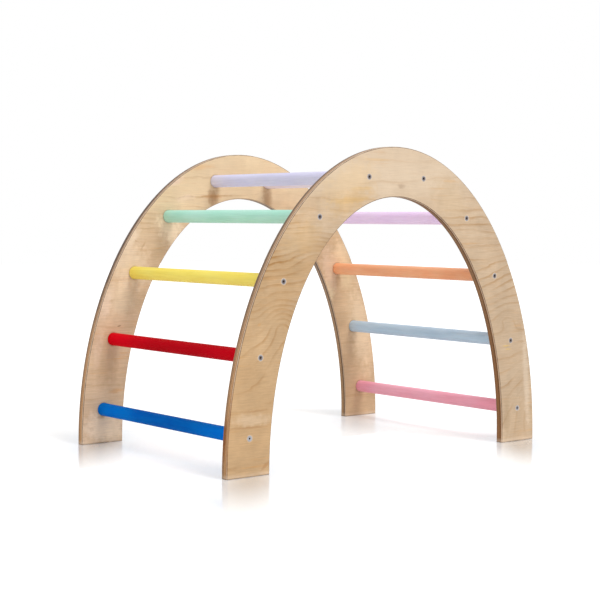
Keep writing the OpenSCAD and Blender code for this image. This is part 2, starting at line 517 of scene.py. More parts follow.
# A value carried from one range into another and held at its ends
def ramp(tree, value, low, high, toLow=0.0, toHigh=1.0, smooth=True):
    ranges = {"Value": value, "From Min": low, "From Max": high, "To Min": toLow, "To Max": toHigh}
    way = "SMOOTHSTEP" if smooth else "LINEAR"
    return addNode(tree, "ShaderNodeMapRange", ranges, clamp=True, interpolation_type=way).outputs[0]


def mixColours(tree, amount, first, second, blend="MIX"):
    inputs = {0: amount, 6: first, 7: second}
    return addNode(tree, "ShaderNodeMix", inputs, data_type="RGBA", blend_type=blend).outputs[2]


def mixNumbers(tree, amount, first, second):
    inputs = {0: amount, 2: first, 3: second}
    return addNode(tree, "ShaderNodeMix", inputs, data_type="FLOAT").outputs[0]


# A colour made lighter or darker all over by a number
def shaded(tree, colour, tone):
    grey = addNode(tree, "ShaderNodeCombineColor", {0: tone, 1: tone, 2: tone}).outputs[0]
    return mixColours(tree, 1.0, colour, grey, "MULTIPLY")


def scaled(tree, vector, scale, shift=(0.0, 0.0, 0.0)):
    inputs = {"Vector": vector, "Scale": scale, "Location": shift}
    return addNode(tree, "ShaderNodeMapping", inputs).outputs[0]


# Noise on a place that is first scaled, so that a small number stretches it along that direction
def noise(tree, place, scale, detail=2.0, roughness=0.5, shift=(0.0, 0.0, 0.0)):
    inputs = {"Scale": 1.0, "Detail": detail, "Roughness": roughness}
    inputs["Vector"] = scaled(tree, place, scale, shift)
    return addNode(tree, "ShaderNodeTexNoise", inputs).outputs[0]


# The same noise about 0, from -0.5 to 0.5
def sway(tree, place, *look):
    return maths(tree, "SUBTRACT", noise(tree, place, *look), 0.5)


def bumpNormal(tree, height, strength, depth):
    inputs = {"Height": height, "Strength": strength, "Distance": depth}
    return addNode(tree, "ShaderNodeBump", inputs).outputs[0]


# A colour as it is read off a screen, turned into the linear value that a shader takes
def paint(red, green, blue):
    channels = [channel / 255 for channel in (red, green, blue)]
    linear = [c / 12.92 if c <= 0.04045 else ((c + 0.055) / 1.055) ** 2.4 for c in channels]
    return (*linear, 1.0)


# A shared effect: each input is a name, a kind and the value it starts with, each output a name
def newGroup(name, inputs, outputs):
    tree = bpy.data.node_groups.new(name, "ShaderNodeTree")
    for label, kind, start in inputs:
        socket = tree.interface.new_socket(name=label, in_out="INPUT", socket_type="NodeSocket" + kind)
        if start is not None:
            socket.default_value = start
    for label in outputs:
        tree.interface.new_socket(name=label, in_out="OUTPUT", socket_type="NodeSocketFloat")
    return tree, tree.nodes.new("NodeGroupInput").outputs, tree.nodes.new("NodeGroupOutput").inputs


def useGroup(tree, group, inputs):
    return addNode(tree, "ShaderNodeGroup", inputs, node_tree=group).outputs


# The same place for every seed, moved far enough to look like another sheet
def seeded(tree, place, seed, stretch):
    shift = times(tree, seed, stretch)
    return vectorMaths(tree, "ADD", place, together(tree, shift, shift, shift)), shift


# What the wood is drawn with. A noise is its scales along the three axes, of which a small one stretches
# it, then its detail, its roughness and a shift. A mark starts at the first value of a noise that its
# range gives, and is full at the second.
grain = {
    "fieldShift": 3.7,  # how far the field moves for each whole seed
    "fibreShift": 5.3,
    "slowBend": ((2.6, 3.0, 6.0), 1.5, 0.4),
    "quickBend": ((13.0, 9.0, 40.0), 2.5, 0.55),
    "presence": ((6.0, 4.0, 24.0), 1.5, 0.5, (4.0, 0.0, 2.0)),
    "presentFrom": (0.3, 0.62, 0.1),  # for the growth lines, and what is left of them elsewhere
    "fibre": ((22.0, 700.0, 540.0), 4.0, 0.66),
    "mottle": ((8.0, 9.0, 17.0), 3.0, 0.55),
    "streaks": ((9.0, 60.0, 120.0), 3.0, 0.6),
    "streakFrom": (0.52, 0.74),
    "pores": ((190.0, 2400.0, 2100.0), 1.0),
    "poreFrom": (0.62, 0.74),
    "readingStep": 0.0006,  # between two readings of the field for its slope
    "softFall": 1.5,  # power with which a line's soft side fades
    "wavesPerLine": {"Fine Lines": 4, "Bands": 0.37},
}


# Level lines of this field are the growth lines of the wood. It rises with the height, faster in some
# stretches than in others, the height being bent by slow noise stretched along the grain; round hills
# and hollows on it turn the lines into folds and nested curves.
def makeGrowthGroup(finish):
    inputs = [("Vector", "Vector", None), ("Seed", "Float", 0.0), ("Hills", "Float", 0.0)]
    tree, given, out = newGroup("growth field", inputs, ["Field"])
    place, shift = seeded(tree, given["Vector"], given["Seed"], grain["fieldShift"])
    height = apart(tree, given["Vector"])["Z"]
    for bend in ("slowBend", "quickBend"):
        height = maths(tree, "MULTIPLY_ADD", sway(tree, place, *grain[bend]), finish[bend], height)
    field = maths(tree, "ADD", shift, finish["fieldStart"])
    for start, end, rate in finish["linesPerMetre"]:
        rise = ramp(tree, height, start, end, 0.0, (end - start) * rate, smooth=False)
        field = maths(tree, "ADD", field, rise)
    hills = 0.0
    for x, z, halfX, halfZ, lines in finish["hills"]:
        size = (1 / halfX, 0.0, 1 / halfZ)
        spot = scaled(tree, given["Vector"], size, (-x / halfX, 0.0, -z / halfZ))
        bell = maths(tree, "EXPONENT", times(tree, vectorMaths(tree, "DOT_PRODUCT", spot, spot), -1.0))
        hills = maths(tree, "MULTIPLY_ADD", bell, float(lines), hills)
    connect(tree, maths(tree, "MULTIPLY_ADD", hills, given["Hills"], field), out["Field"])
    return tree


# Wood with its grain along X. A growth line is drawn where the field passes a whole number, as wide as
# told: the distance to it is what is left of the field to that number, over the field's slope, which is
# taken from two more readings of it close by. One side of a line fades slowly and the other ends soon.
# Fibres, streaks and pores are finer noise, stretched along the grain.
def makeVeneerGroup(growth, finish):
    inputs = [("Vector", "Vector", None), ("Hills", "Float", 0.0), ("Seed", "Float", 0.0)]
    outputs = ["Lines", "Fine Lines", "Bands", "Fibre", "Mottle", "Streaks", "Pores"]
    tree, given, out = newGroup("veneer", inputs, outputs)
    step = grain["readingStep"]

    def reading(shift):
        place = vectorMaths(tree, "ADD", given["Vector"], shift)
        return useGroup(tree, growth, {"Vector": place, "Seed": given["Seed"], "Hills": given["Hills"]})[0]

    field = reading((0.0, 0.0, 0.0))
    slopes = []
    for shift in [(step, 0.0, 0.0), (0.0, 0.0, step)]:
        slopes.append(times(tree, maths(tree, "SUBTRACT", reading(shift), field), 1 / step))
    square = maths(tree, "MULTIPLY_ADD", slopes[0], slopes[0], times(tree, slopes[1], slopes[1]))
    slope = maths(tree, "MAXIMUM", maths(tree, "SQRT", square), finish["leastSlope"])

    phase = maths(tree, "FRACT", field)
    ahead = maths(tree, "DIVIDE", maths(tree, "SUBTRACT", 1.0, phase), slope)
    behind = maths(tree, "DIVIDE", phase, slope)
    soft = ramp(tree, ahead, 0.0, finish["softWidth"], 1.0, 0.0)
    sharp = ramp(tree, behind, 0.0, finish["sharpWidth"], 1.0, 0.0)
    line = maths(tree, "MAXIMUM", maths(tree, "POWER", soft, grain["softFall"]), sharp)
    presence = ramp(tree, noise(tree, given["Vector"], *grain["presence"]), *grain["presentFrom"])
    connect(tree, times(tree, line, presence), out["Lines"])
    for label, waves in grain["wavesPerLine"].items():
        wave = maths(tree, "SINE", times(tree, field, 2 * np.pi * waves))
        connect(tree, maths(tree, "MULTIPLY_ADD", wave, 0.5, 0.5), out[label])

    place, shift = seeded(tree, given["Vector"], given["Seed"], grain["fibreShift"])
    connect(tree, noise(tree, place, *grain["fibre"]), out["Fibre"])
    connect(tree, noise(tree, place, *grain["mottle"]), out["Mottle"])
    connect(tree, ramp(tree, noise(tree, place, *grain["streaks"]), *grain["streakFrom"]), out["Streaks"])
    connect(tree, ramp(tree, noise(tree, place, *grain["pores"]), *grain["poreFrom"]), out["Pores"])
    return tree


# Plywood as a stack: the place in its thickness gives the ply's number, whether its grain runs upright
# (every second one), how dark that ply is, how dark it is under the arch, and how near the next glue
# line is. The plies waver a little, but not at the two faces.
def makePlyStackGroup(finish, arch):
    inputs = [("Vector", "Vector", None), ("Centre", "Float", 0.0), ("Thickness", "Float", 0.018)]
    outputs = ["Number", "Upright", "Tone", "Inner Tone", "Glue"]
    tree, given, out = newGroup(arch["name"] + " plies", inputs, outputs)
    plies = len(finish["plyTones"])
    across = maths(tree, "SUBTRACT", apart(tree, given["Vector"])["Y"], given["Centre"])
    share = maths(tree, "ADD", maths(tree, "DIVIDE", across, given["Thickness"]), 0.5)
    first, last = finish["insideFrom"]
    inside = times(tree, ramp(tree, share, first, last), ramp(tree, share, 1 - first, 1 - last))
    bend = times(tree, sway(tree, given["Vector"], *finish["waverNoise"]), finish["plyWaver"])
    depth = maths(tree, "MULTIPLY_ADD", bend, inside, times(tree, share, float(plies)))
    number = maths(tree, "MAXIMUM", maths(tree, "FLOOR", depth), 0.0)
    number = maths(tree, "MINIMUM", number, plies - 1.0)
    connect(tree, number, out["Number"])
    connect(tree, maths(tree, "MODULO", number, 2.0), out["Upright"])

    middle = maths(tree, "DIVIDE", maths(tree, "ADD", number, 0.5), float(plies))
    for label, plyTones in [("Tone", finish["plyTones"]), ("Inner Tone", arch["innerTones"])]:
        tones = addNode(tree, "ShaderNodeValToRGB", {0: middle})
        tones.color_ramp.interpolation = "CONSTANT"
        stops = tones.color_ramp.elements
        for step, tone in enumerate(plyTones):
            stop = stops[step] if step < 2 else stops.new(step / plies)
            stop.position = step / plies
            stop.color = (tone, tone, tone, 1.0)
        connect(tree, tones.outputs[0], out[label])

    nearest = maths(tree, "ABSOLUTE", maths(tree, "SUBTRACT", depth, maths(tree, "ROUND", depth)))
    core = finish["glueWidth"] * finish["glueCore"]
    line = ramp(tree, nearest, core, finish["glueWidth"], 1.0, 0.0)
    connect(tree, times(tree, line, inside), out["Glue"])
    return tree


# Distance from the line of the nearest rung
def makeSeatGroup(places):
    tree, given, out = newGroup("nearest rung", [("Vector", "Vector", None)], ["Distance"])
    level = vectorMaths(tree, "MULTIPLY", given["Vector"], (1.0, 0.0, 1.0))
    nearest = 10.0  # farther than any rung
    for x, z in places:
        nearest = maths(tree, "MINIMUM", nearest, vectorMaths(tree, "DISTANCE", level, (x, 0.0, z)))
    connect(tree, nearest, out["Distance"])
    return tree


# A soft spot of a given half length and half height, tilted in the face's plane, with a ragged edge
def makeSoftSpotGroup():
    inputs = [(label, "Vector", None) for label in ("Vector", "Centre", "Half Size", "Tilt")]
    tree, given, out = newGroup("softSpot", inputs, ["Amount"])
    core, raggedScale = 0.25, 90.0  # share of the stain that is full, and how fine its ragged edge is
    raggedNoise = {"Vector": given["Vector"], "Scale": raggedScale, "Detail": 3.0}
    ragged = addNode(tree, "ShaderNodeTexNoise", raggedNoise)
    shift = vectorMaths(tree, "SUBTRACT", ragged.outputs["Color"], (0.5, 0.5, 0.5))
    lie = {"Location": given["Centre"], "Rotation": given["Tilt"], "Scale": given["Half Size"]}
    lie["Vector"] = given["Vector"]
    spot = addNode(tree, "ShaderNodeMapping", lie, vector_type="TEXTURE").outputs[0]
    spot = vectorMaths(tree, "MULTIPLY", vectorMaths(tree, "ADD", spot, shift), (1.0, 0.0, 1.0))
    connect(tree, ramp(tree, vectorMaths(tree, "LENGTH", spot), core, 1.0, 1.0, 0.0), out["Amount"])
    return tree


smearLook = {
    "noise": ((34.0, 34.0, 60.0), 3.0, 0.6),
    "smearFrom": (0.45, 0.7),
}


# Soft smears on metal that has been handled
def makeSmearGroup():
    tree, given, out = newGroup("smears", [("Vector", "Vector", None)], ["Amount"])
    cloud = noise(tree, given["Vector"], *smearLook["noise"])
    connect(tree, ramp(tree, cloud, *smearLook["smearFrom"]), out["Amount"])
    return tree


def newMaterial(name):
    material = bpy.data.materials.new(name)
    material.use_nodes = True
    tree = material.node_tree
    return material, tree, tree.nodes["Principled BSDF"]


birchFinish = {
    "plyTones": [1.14, 0.74, 1.32, 1.18, 0.82, 0.92, 0.54, 0.70, 0.32],  # from the front face to the back
    "plyWaver": 0.30,  # in plies
    "waverNoise": ((14.0, 60.0, 14.0), 1.0),
    "insideFrom": (0.02, 0.12),  # shares of the thickness from a face where the wavering and glue begin
    "plyShift": 0.37,  # how far apart the figures of two plies lie
    "glueWidth": 0.11,  # share of a ply
    "glueCore": 0.4,  # share of that at full strength
    "leftToRight": (-0.33, -0.06),  # where the first colour gives way to the second, along x
    "legToCrown": (0.41, 0.64),  # where they give way to the third, in height
    "crownLean": (0.03, 0.24, 0.0, 0.06),  # from one x to another, how much higher the third one starts
    "crownFrom": (0.54, 0.60),  # heights where the calmer crown begins and is reached
    "faceFrom": (0.55, 0.9),  # flatness, from an edge's 0 to a face's 1
    "innerFrom": (-0.35, -0.15, 1.0, 0.0),  # from an edge that faces the middle of the arch to the others
    "endPower": 1.5,  # makes the end grain's share smaller where fibres are cut at a slant
    "line": paint(168, 123, 71),
    "streak": paint(206, 156, 98),
    "rim": paint(204, 156, 106),
    "rimHigh": paint(184, 154, 128),
    "endGrain": paint(176, 130, 88),
    "farHalfShade": 0.6,  # multiplies the far plies of the edge, high up
    # pale sanded wood; on corners toward -Y it also stands for a painted highlight
    "sandedEdge": paint(226, 202, 176),
    "glue": paint(84, 60, 44),
    "edgeLine": paint(98, 76, 63),
    # grime, and the colour of the painted shade round heads and rungs
    "dirtAndShade": paint(110, 86, 66),
    "linesPerMetre": [
        (-0.10, 0.08, 9.0),
        (0.08, 0.15, 30.0),
        (0.15, 0.33, 30.0),
        (0.33, 0.42, 52.0),
        (0.42, 0.55, 76.0),
        (0.55, 0.80, 22.0),
    ],  # from one height to another
    "fieldStart": 0.155,
    "hills": [
        (-0.235, 0.445, 0.050, 0.045, -1.8),
        (-0.322, 0.310, 0.035, 0.035, -2.2),
        (-0.270, 0.240, 0.100, 0.070, -4.0),
        (-0.395, 0.350, 0.030, 0.030, 1.3),
        (0.250, 0.400, 0.090, 0.090, 2.0),
        (0.362, 0.296, 0.042, 0.028, -1.2),
        (0.445, 0.075, 0.058, 0.120, -2.6),
    ],  # centre x and z, half sizes, and height in lines
    "slowBend": 0.05,
    "quickBend": 0.017,
    "leastSlope": 14.0,  # keeps a line from spreading where the field is level
    "softWidth": 0.008,
    "sharpWidth": 0.0018,
    "fibreRange": (0.3, 0.7),
    "roughness": (0.56, 0.45),  # at the low and the high end of the fibres
    "endRougher": 0.12,  # added where the edge cuts across the fibres
    "shine": 0.25,
    "coat": 0.05,
    "coatRoughness": 0.3,
    "fibreRelief": 0.5,
    "poreRelief": -0.6,
    "glueRelief": -0.8,
    "bump": (0.35, 0.0002),  # strength and depth
}

# Colours are those of the left leg, the right leg and the crown; the crown's paler colour is partly painted
# light from above. A bold place is a centre x and z, half sizes and how much stronger its lines are there, or
# weaker below zero. A stain is a centre x and z, half sizes along and across, a tilt in degrees, a colour and
# a strength; some of the back arch's are painted shadows and painted light, marked where they stand. Stains
# lie on the face, corner stains on the sanded corners and edge stains on the edge's plies from the third one
# back. What is inner belongs to the edge under the arch.
frontArch = {
    "name": "frontArch",
    "node": "front_arch",
    "side": -1,
    "seed": 1.0,
    "hills": 1.0,  # how much of the finish's hills its face shows
    "lineStrength": 0.44,
    "colours": [paint(197, 163, 122), paint(201, 176, 147), paint(221, 199, 172)],
    "boldPlaces": [
        (-0.34, 0.36, 0.13, 0.20, 0.85),
        (-0.23, 0.54, 0.10, 0.05, -0.7),
        (-0.39, 0.146, 0.080, 0.026, -0.9),
        (-0.41, 0.022, 0.050, 0.020, -0.7),
    ],
    "stainsAndPaintedLight": [
        (-0.380, 0.310, 0.008, 0.004, 30, paint(206, 152, 88), 0.55),
        (-0.140, 0.566, 0.075, 0.009, 4, paint(216, 176, 114), 0.75),
        (-0.104, 0.592, 0.050, 0.006, 3, paint(218, 180, 124), 0.6),
        (-0.060, 0.655, 0.060, 0.004, 0, paint(218, 180, 128), 0.45),
        (0.165, 0.614, 0.040, 0.005, -2, paint(216, 172, 120), 0.45),
        (0.012, 0.599, 0.016, 0.007, 0, paint(176, 150, 124), 0.6),
        (0.333, 0.018, 0.010, 0.007, 30, paint(150, 110, 76), 0.5),
        (0.360, 0.230, 0.018, 0.003, 0, paint(216, 180, 100), 0.6),
        (0.368, 0.222, 0.014, 0.003, 0, paint(216, 180, 100), 0.5),
        (-0.360, 0.021, 0.022, 0.005, 40, paint(172, 126, 80), 0.55),
        (-0.140, 0.600, 0.110, 0.060, 25, paint(224, 194, 152), 0.6),
        (0.405, 0.050, 0.075, 0.070, 0, paint(190, 162, 130), 0.4),
        (0.424, 0.143, 0.007, 0.0015, 66, paint(160, 122, 86), 0.4),
        (0.418, 0.126, 0.006, 0.0014, 72, paint(160, 122, 86), 0.3),
        (0.410, 0.103, 0.009, 0.0015, 70, paint(160, 122, 86), 0.25),
        (-0.270, 0.485, 0.080, 0.050, 30, paint(208, 172, 122), 0.4),
        (0.165, 0.570, 0.090, 0.060, -35, paint(202, 174, 138), 0.5),
        (-0.130, 0.562, 0.100, 0.034, 20, paint(210, 172, 118), 0.45),
        (-0.355, 0.290, 0.080, 0.130, 15, paint(224, 194, 156), 0.2),
        (0.432, 0.150, 0.014, 0.160, 5, paint(228, 208, 184), 0.5),
        (0.366, 0.060, 0.016, 0.070, 0, paint(172, 144, 110), 0.4),
        (-0.395, 0.116, 0.080, 0.018, -1, paint(209, 180, 146), 0.85),
        (-0.385, 0.134, 0.045, 0.003, 1, paint(180, 138, 94), 0.6),
        (-0.400, 0.101, 0.065, 0.003, -1, paint(176, 134, 90), 0.65),
    ],
    "cornerStains": [(-0.460, 0.095, 0.040, 0.130, 0, paint(166, 110, 54), 0.65)],
    "edgeStains": [(-0.462, 0.085, 0.024, 0.060, 0, paint(136, 76, 16), 0.9)],
    "innerTones": [1.06, 0.90, 0.36, 0.56, 0.98, 0.66, 0.84, 0.60, 0.72],
    "innerTintAndShade": paint(232, 214, 188),  # painted shade and a warmer tint under the arch: multiplies the edge's colour
    "innerLine": paint(92, 62, 44),
}

backArch = {
    "name": "backArch",
    "node": "back_arch",
    "side": 1,
    "seed": 2.0,
    "hills": 0.0,
    "lineStrength": 0.22,
    "colours": [paint(214, 184, 152), paint(206, 174, 138), paint(236, 210, 172)],
    "boldPlaces": [(-0.12, 0.61, 0.24, 0.07, 3.0)],
    "stainsAndPaintedLight": [
        (-0.3656, 0.4411, 0.004, 0.003, 0, paint(70, 46, 32), 0.9),
        (-0.360, 0.272, 0.007, 0.0022, 12, paint(110, 76, 48), 0.7),
        (-0.393, 0.079, 0.009, 0.0022, -8, paint(120, 84, 54), 0.5),
        (-0.395, 0.330, 0.060, 0.022, 70, paint(240, 214, 190), 0.6),
        (-0.416, 0.220, 0.060, 0.018, 80, paint(240, 214, 190), 0.45),
        # painted light: a paler patch on the foot, where the rungs' shadows fall
        (-0.395, 0.040, 0.090, 0.055, 0, paint(244, 220, 194), 0.7),
        (-0.330, 0.480, 0.050, 0.024, 50, paint(240, 216, 190), 0.55),
        (-0.293, 0.459, 0.016, 0.004, 60, paint(176, 136, 96), 0.5),
        (-0.310, 0.470, 0.014, 0.003, -30, paint(176, 136, 96), 0.45),
        (-0.368, 0.120, 0.026, 0.008, 4, paint(200, 146, 92), 0.5),
        (-0.405, 0.062, 0.024, 0.006, 8, paint(176, 132, 86), 0.45),
        (-0.130, 0.650, 0.050, 0.010, 5, paint(226, 178, 124), 0.5),
        (-0.090, 0.580, 0.040, 0.008, 0, paint(214, 160, 104), 0.5),
        (0.368, 0.455, 0.030, 0.010, -10, paint(222, 176, 118), 0.5),
        # painted shadows below the periwinkle and blush rung ends
        (-0.089, 0.577, 0.021, 0.038, 0, paint(160, 108, 56), 0.5),
        (0.080, 0.577, 0.021, 0.038, 0, paint(160, 108, 56), 0.5),
        (-0.200, 0.615, 0.036, 0.012, 20, paint(244, 216, 196), 0.5),
        (-0.170, 0.575, 0.040, 0.010, 10, paint(244, 218, 194), 0.4),
        (0.292, 0.395, 0.040, 0.080, 20, paint(240, 208, 178), 0.6),
        (-0.335, 0.420, 0.070, 0.100, 30, paint(250, 228, 204), 0.45),
        (-0.215, 0.500, 0.046, 0.060, 40, paint(254, 230, 198), 0.75),
        # painted shadow below the red rung's end
        (-0.398, 0.190, 0.050, 0.085, 10, paint(170, 134, 96), 0.4),
        # painted light: a paler patch low on the foot, where the rungs' shadows fall
        (-0.378, 0.020, 0.040, 0.040, 0, paint(250, 226, 196), 0.6),
        (0.405, 0.235, 0.055, 0.170, 12, paint(246, 220, 188), 0.38),
        (0.335, 0.435, 0.040, 0.060, 20, paint(252, 222, 182), 0.5),
        (0.289, 0.333, 0.026, 0.034, 20, paint(250, 224, 184), 0.6),
        (0.346, 0.376, 0.036, 0.046, 20, paint(246, 222, 178), 0.3),
        # painted shadow below the orange rung's end
        (0.320, 0.363, 0.013, 0.028, 0, paint(170, 130, 84), 0.4),
        (-0.350, 0.330, 0.050, 0.050, 0, paint(246, 226, 196), 0.35),
    ],
    "cornerStains": [],
    "edgeStains": [(-0.300, 0.480, 0.280, 0.110, 55, paint(84, 66, 54), 0.85)],
    "innerTones": [1.30, 0.42, 0.40, 0.75, 1.15, 1.15, 1.05, 0.95, 0.90],
    # painted shade and a tint under the arch: multiplies the edge's colour
    "innerTintAndShade": paint(230, 238, 250),
    "innerLine": paint(170, 138, 108),
}


# What the plywood shows at each place: its ply, the veneer's figure there and how the surface lies.
# Each ply is veneer with its grain along X or, every second one, along Z.
def readPly(tree, arch, groups):
    finish = birchFinish
    coordinates = addNode(tree, "ShaderNodeTexCoord").outputs
    place, normal = coordinates["Object"], coordinates["Normal"]
    parts, facing = apart(tree, place), apart(tree, normal)
    stackInputs = {"Vector": place, "Centre": archCentre(arch["side"]), "Thickness": archShape["thickness"]}
    stack = useGroup(tree, makePlyStackGroup(finish, arch), stackInputs)
    along = mixNumbers(tree, stack["Upright"], parts["X"], parts["Z"])
    athwart = mixNumbers(tree, stack["Upright"], parts["Z"], parts["X"])
    sheet = together(tree, along, times(tree, stack["Number"], finish["plyShift"]), athwart)
    foremost = maths(tree, "LESS_THAN", stack["Number"], 0.5)
    hills = times(tree, foremost, arch["hills"])
    wood = useGroup(tree, groups["veneer"], {"Vector": sheet, "Seed": arch["seed"], "Hills": hills})

    flatness = maths(tree, "ABSOLUTE", facing["Y"])
    endwise = maths(tree, "ABSOLUTE", mixNumbers(tree, stack["Upright"], facing["X"], facing["Z"]))
    outward = vectorMaths(tree, "NORMALIZE", together(tree, parts["X"], 0.0, parts["Z"]))
    outward = vectorMaths(tree, "DOT_PRODUCT", outward, normal)
    overOne = 1.0002  # keeps what is under the root above zero
    sideways = maths(tree, "SQRT", maths(tree, "SUBTRACT", overOne, times(tree, flatness, flatness)))
    return {
        "place": place,
        "parts": parts,
        "facing": facing,
        "stack": stack,
        "wood": wood,
        "flatness": flatness,  # 1 on a face, 0 on an edge
        "endwise": maths(tree, "POWER", endwise, finish["endPower"]),  # 1 across the fibres
        "inner": ramp(tree, maths(tree, "DIVIDE", outward, sideways), *finish["innerFrom"]),
        "high": ramp(tree, parts["Z"], *finish["crownFrom"]),
    }


# How much of a soft spot there is at each place
def spotAmount(tree, groups, place, x, z, halfAlong, halfAcross, tilt=0.0):
    inputs = {
        "Vector": place,
        "Centre": (x, 0.0, z),
        "Half Size": (halfAlong, 1.0, halfAcross),
        "Tilt": (0.0, -np.radians(tilt), 0.0),
    }
    return useGroup(tree, groups["softSpot"], inputs)["Amount"]


# A list of stains, painted shadows and painted light laid over a colour, as strongly as the last value lets
# them show
def withStainsAndPaintedLight(tree, groups, place, colour, stainsAndPaintedLight, where):
    for *spot, tint, strength in stainsAndPaintedLight:
        amount = times(tree, spotAmount(tree, groups, place, *spot), where, strength)
        colour = mixColours(tree, amount, colour, tint)
    return colour


# How strong the marks on a face are. Streaks and lines go from one strength to another over a range of
# the slow mottling.
faceMarks = {
    "patchReach": 0.45,  # how far the mottling moves a border between two colours
    "patchRise": 0.6,  # share of that in height
    "streaks": (0.45, 0.66, 0.1, 0.6),
    "bands": 0.10,
    "lines": (0.36, 0.62, 1.35, 0.6),
    "fineLines": 0.05,
    "crownLines": 0.45,  # share of the lines that is left at the crown
    "pores": 0.25,
    "stainsAndPaintedLightSide": (-0.5, 0.5, 1.0, 0.0),  # from the side toward -Y to the other
}


# A face: three colours that give way to each other in patches, the crown's partly painted light from above,
# then streaks and growth lines, and stains, painted shadows and painted light on the side turned toward -Y
def faceColour(tree, ply, arch, groups):
    finish, marks, wood, parts = birchFinish, faceMarks, ply["wood"], ply["parts"]
    patch = times(tree, maths(tree, "SUBTRACT", wood["Mottle"], 0.5), marks["patchReach"])
    across = maths(tree, "ADD", parts["X"], patch)
    upward = maths(tree, "MULTIPLY_ADD", patch, marks["patchRise"], parts["Z"])
    upward = maths(tree, "SUBTRACT", upward, ramp(tree, parts["X"], *finish["crownLean"]))
    leftColour, rightColour, crownColour = arch["colours"]
    colour = mixColours(tree, ramp(tree, across, *finish["leftToRight"]), leftColour, rightColour)
    colour = mixColours(tree, ramp(tree, upward, *finish["legToCrown"]), colour, crownColour)
    streaks = times(tree, wood["Streaks"], ramp(tree, wood["Mottle"], *marks["streaks"]))
    colour = mixColours(tree, streaks, colour, finish["streak"])
    colour = mixColours(tree, times(tree, wood["Bands"], marks["bands"]), colour, finish["line"])

    fading = ramp(tree, wood["Mottle"], *marks["lines"])
    lines = times(tree, wood["Lines"], arch["lineStrength"], fading)
    boldness = 1.0
    for *spot, more in arch["boldPlaces"]:
        boldness = maths(tree, "MULTIPLY_ADD", spotAmount(tree, groups, ply["place"], *spot), more, boldness)
    lines = times(tree, lines, boldness)
    lines = maths(tree, "MULTIPLY_ADD", wood["Fine Lines"], marks["fineLines"], lines)
    lines = times(tree, lines, mixNumbers(tree, ply["high"], 1.0, marks["crownLines"]))
    colour = mixColours(tree, lines, colour, finish["line"])
    colour = mixColours(tree, times(tree, wood["Pores"], marks["pores"]), colour, finish["line"])
    shown = ramp(tree, ply["facing"]["Y"], *marks["stainsAndPaintedLightSide"])
    return withStainsAndPaintedLight(tree, groups, ply["place"], colour, arch["stainsAndPaintedLight"], shown)


# How an edge changes. Four values are a range, and what it is carried into.
edgeMarks = {
    "upperRim": (0.1, 0.5, 0.0, 0.7),  # over the height
    "undersideShade": (-0.9, -0.2, 0.9, 1.0),  # painted shade: tone, from facing down to facing sideways
    "farPlies": (3.5, 5.5),  # numbers of the plies, counted from 0 at the front face
    "farHeights": (0.25, 0.48),
    "stainedPlies": (1.5, 3.5),
    "glue": 0.8,
    "sandedFrom": (0.1, 0.4),  # flatness, from an edge's 0 to a face's 1
    "sandedAndHighlit": (-0.1, 0.1, 0.9, 0.35),  # painted highlight on top of the sanding: from the corners toward -Y, where the key light falls, to the others
}


# An edge: a cut through the stack, each ply in its own tone, with glue lines between them and stains on the
# farther plies. It is darker where it cuts across the fibres, has painted shade where it faces down and a
# darker tint under the arch that is partly painted shade, and its corners are sanded pale, with a painted
# highlight on those toward -Y.
def edgeColour(tree, ply, arch, groups):
    finish, marks, stack, inner = birchFinish, edgeMarks, ply["stack"], ply["inner"]
    parts, facing = ply["parts"], ply["facing"]
    colour = mixColours(tree, ply["endwise"], finish["rim"], finish["endGrain"])
    colour = mixColours(tree, ramp(tree, parts["Z"], *marks["upperRim"]), colour, finish["rimHigh"])
    tone = mixNumbers(tree, inner, stack["Tone"], stack["Inner Tone"])
    # Painted shade on an edge that faces down
    tone = times(tree, tone, ramp(tree, facing["Z"], *marks["undersideShade"]))
    farPlies, farHeights = marks["farPlies"], marks["farHeights"]
    farHalf = times(tree, ramp(tree, stack["Number"], *farPlies), ramp(tree, parts["Z"], *farHeights))
    farHalf = times(tree, farHalf, maths(tree, "SUBTRACT", 1.0, inner))
    tone = times(tree, tone, mixNumbers(tree, farHalf, 1.0, finish["farHalfShade"]))
    colour = shaded(tree, colour, tone)
    # Painted shade and a tint on the edge under the arch
    colour = mixColours(tree, inner, colour, mixColours(tree, 1.0, colour, arch["innerTintAndShade"], "MULTIPLY"))
    behind = ramp(tree, stack["Number"], *marks["stainedPlies"])
    colour = withStainsAndPaintedLight(tree, groups, ply["place"], colour, arch["edgeStains"], behind)
    colour = mixColours(tree, times(tree, stack["Glue"], marks["glue"]), colour, finish["glue"])
    # Sanded pale corners, with a painted highlight on those toward -Y
    sandedAndHighlit = ramp(tree, ply["flatness"], *marks["sandedFrom"])
    sandedAndHighlit = times(tree, sandedAndHighlit, ramp(tree, facing["Y"], *marks["sandedAndHighlit"]))
    return mixColours(tree, sandedAndHighlit, colour, finish["sandedEdge"])


# Where the wear, the grime and the painted shade are. Flatness goes from an edge's 0 to a face's 1. Four
# values are a range, and what it is carried into.
wearAndShadeMarks = {
    "lineFrom": (0.6, 0.75),  # flatness where the line along a corner begins
    "cornerFrom": (0.1, 0.4),  # and where the corner itself does
    "faceFrom": (0.999, 0.93),  # both end here
    "patches": ((60.0, 60.0, 60.0), 3.0),
    "patchy": (0.35, 0.6, 0.65, 1.0),
    "ragged": ((120.0, 120.0, 120.0),),
    "raggedReach": 0.002,
    "innerReach": 0.002,  # how far past the sheet's middle the inner face's wear goes
    "innerBlur": 0.0005,
    "rawRing": (0.0028, 0.0012),  # outside a head
    "rawStrength": 0.5,
    "outerOnly": (0.4, 0.6, 1.0, 0.0),  # over the inner face's share
    "headGrimeAndShade": (0.0002, 0.0009, 0.35, 0.0),  # grime and painted shade in the countersink's mouth, outside a head
    "rungShade": (0.0, 0.005, 0.22, 0.0),  # painted shade where a rung meets the inner face, outside the rung
    "scuffedFoot": (0.003, 0.012, 0.45, 0.0),  # over the height
    "footGrime": (0.0, 0.0035, 0.65, 0.0),
}
